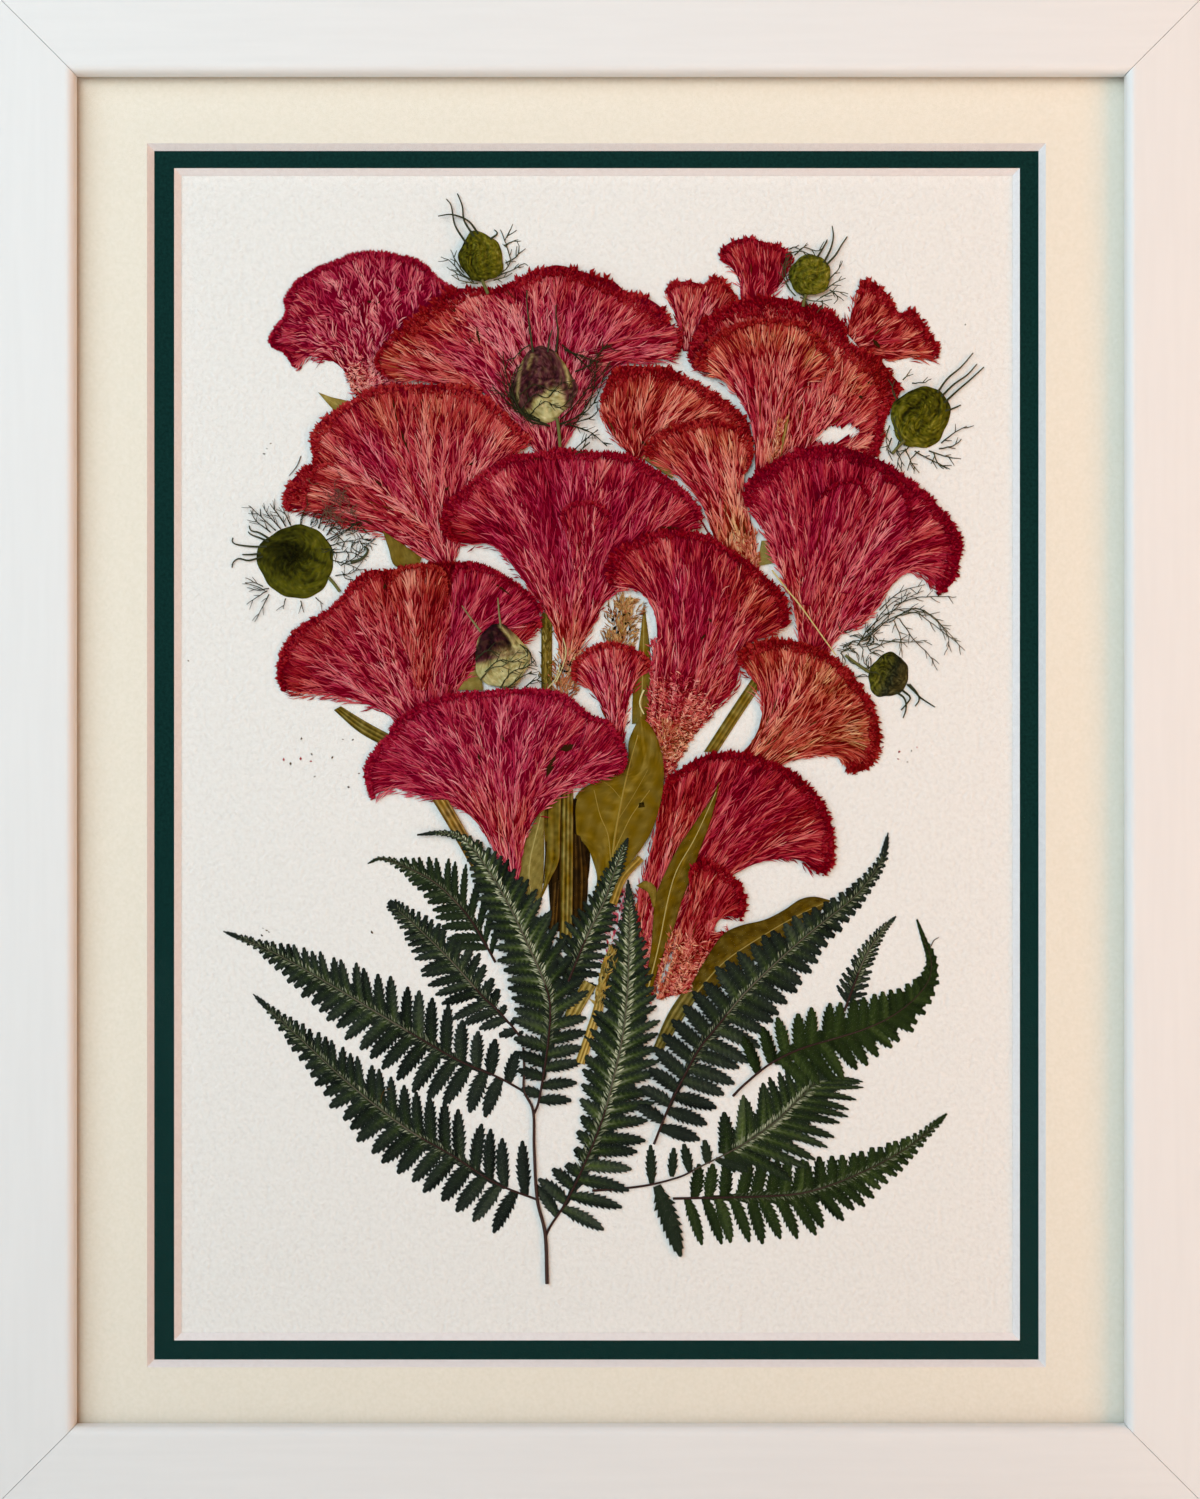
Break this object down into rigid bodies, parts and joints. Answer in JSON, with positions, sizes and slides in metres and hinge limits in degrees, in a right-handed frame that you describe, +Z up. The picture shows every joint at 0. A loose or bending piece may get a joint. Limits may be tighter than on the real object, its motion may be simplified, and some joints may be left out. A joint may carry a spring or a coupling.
{
  "type": "pressed flower frame",
  "caption": "Rectangular white wall frame with glass over cream and green mats, holding pressed cockscomb heads, seed pods, leaves and fern fronds on textured paper.",
  "frame": {"origin": "middle notch of the hanger on the back of the top rail, on the back plane of the rails", "axes": "+Z up as hung, +Y from the glass towards the wall, so the front looks along -Y"},
  "size_m": [0.3112, 0.0226, 0.3873],
  "materials": {
    "white_paint": "satin white paint on wood",
    "glass": "clear, polished",
    "mat_cream": "matt cream mat board with a white core",
    "mat_green": "matt dark green mat board with a white core",
    "watercolour_paper": "matt, rough cold-pressed surface",
    "backing_board": "plain brown board",
    "hanger_steel": "bright plated steel",
    "celosia": "dry velvety florets, crimson to pink and salmon",
    "nigella": "dry papery pod, green, olive and purple",
    "fern": "dry dark green leaf, purple-brown midrib",
    "leaf": "dry olive leaf",
    "stem": "dry ribbed stem"
  },
  "bodies": {
    "root": {"rail_top": "white_paint", "rail_bottom": "white_paint", "rail_right": "white_paint", "rail_left": "white_paint", "glass": "glass", "mat_cream": "mat_cream", "mat_green": "mat_green", "mount_paper": "watercolour_paper", "backing_board": "backing_board", "hanger": "hanger_steel", "celosia_01": "celosia", "celosia_02": "celosia", "celosia_03": "celosia", "celosia_04": "celosia", "celosia_05": "celosia", "celosia_06": "celosia", "celosia_07": "celosia", "celosia_08": "celosia", "celosia_09": "celosia", "celosia_10": "celosia", "celosia_11": "celosia", "celosia_12": "celosia", "celosia_13": "celosia", "celosia_14": "celosia", "celosia_15": "celosia", "celosia_16": "celosia", "celosia_17": "celosia", "celosia_18": "celosia", "celosia_19": "celosia", "nigella_pod_1": "nigella", "nigella_pod_2": "nigella", "nigella_pod_3": "nigella", "nigella_pod_4": "nigella", "nigella_pod_5": "nigella", "nigella_pod_6": "nigella", "nigella_pod_7": "nigella", "fern_pinna_01": "fern", "fern_pinna_02": "fern", "fern_pinna_03": "fern", "fern_pinna_04": "fern", "fern_pinna_05": "fern", "fern_pinna_06": "fern", "fern_pinna_07": "fern", "fern_pinna_08": "fern", "fern_pinna_09": "fern", "fern_pinna_10": "fern", "fern_pinna_11": "fern", "fern_pinna_12": "fern", "fern_rachis": "fern", "leaf_broad": "leaf", "leaf_grey": "leaf", "leaf_olive": "leaf", "leaf_blade": "leaf", "leaf_right": "leaf", "leaf_tip": "leaf", "leaf_spear": "leaf", "stem_left": "stem", "stem_right": "stem", "stem_brown": "stem", "stem_yellow": "stem"}
  },
  "joints": []
}
